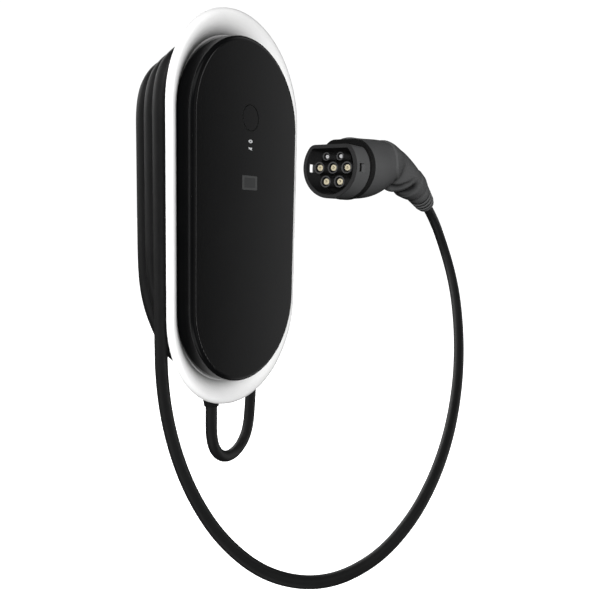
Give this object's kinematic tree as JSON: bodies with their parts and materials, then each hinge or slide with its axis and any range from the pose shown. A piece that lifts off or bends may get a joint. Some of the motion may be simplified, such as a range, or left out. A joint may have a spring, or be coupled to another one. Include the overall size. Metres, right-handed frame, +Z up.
{
  "type": "ev wallbox",
  "caption": "Oblong wall-hung car charging box with a black front cover and button, a white flange, a cable wound on its rear drum and a round-faced charging connector.",
  "frame": {"origin": "centre of the wall bracket's screw pattern, on the wall plane", "axes": "+Z up along the box's height, +Y into the wall, -Y is the front, +X to the right seen from the front"},
  "size_m": [0.4389, 0.2582, 0.5616],
  "materials": {
    "black_cover": "satin black",
    "white_flange": "smooth white",
    "black_housing": "fine matt texture",
    "black_rubber": "matt",
    "cable_jacket": "matt, faint extrusion lines",
    "zinc_steel": "zinc plated",
    "board_green": "solder resist",
    "component_dark": "moulded",
    "component_pale": "moulded",
    "window_smoke": "smoked clear panel",
    "light_pipe": "clear white",
    "connector_grey": "fine spark-eroded texture",
    "contact_black": "moulded",
    "contact_brass": "machined",
    "contact_silver": "machined"
  },
  "bodies": {
    "box": {"front_cover": "black_cover", "cover_gasket": "black_rubber", "cable_flange": "white_flange", "rear_housing": "black_housing", "housing_gasket": "black_rubber", "cover_screws": "zinc_steel", "housing_screws": "zinc_steel", "main_board_screws": "zinc_steel", "panel_board_screws": "zinc_steel", "lock_screws": "zinc_steel", "wall_bracket": "zinc_steel", "inlet_grommet": "black_rubber", "button_switch": "component_dark", "panel_board": "board_green", "display_window": "window_smoke", "display_module": "component_dark", "status_light_pipes": "light_pipe", "status_leds": "component_pale", "main_board": "board_green", "power_relays": "component_dark", "current_sensor": "component_dark", "power_supply_module": "component_dark", "filter_capacitors": "component_dark", "wireless_module": "component_pale", "terminal_block": "component_pale", "terminal_screws": "zinc_steel", "ribbon_cable": "component_pale", "gland_body": "black_housing", "gland_locknut": "black_housing", "gland_seal": "black_rubber", "gland_cap": "black_housing", "cable_tail": "cable_jacket", "cable_lead": "cable_jacket", "cable_winding": "cable_jacket", "connector_shroud": "connector_grey", "contact_carrier": "contact_black", "contact_sleeves": "contact_black", "power_contacts": "contact_brass", "pilot_contacts": "contact_silver", "connector_seal_ring": "black_rubber", "connector_nose": "connector_grey", "connector_grip": "connector_grey", "grip_boot": "connector_grey", "cable_clamp": "component_dark"},
    "button": {"push_button": "black_cover", "switch_plunger": "component_pale"}
  },
  "joints": [
    {"name": "button_press", "type": "slide", "parent": "box", "child": "button", "axis": [0, 1, 0], "range_m": [0, 0.0015], "stiffness_N_per_m": 900}
  ]
}
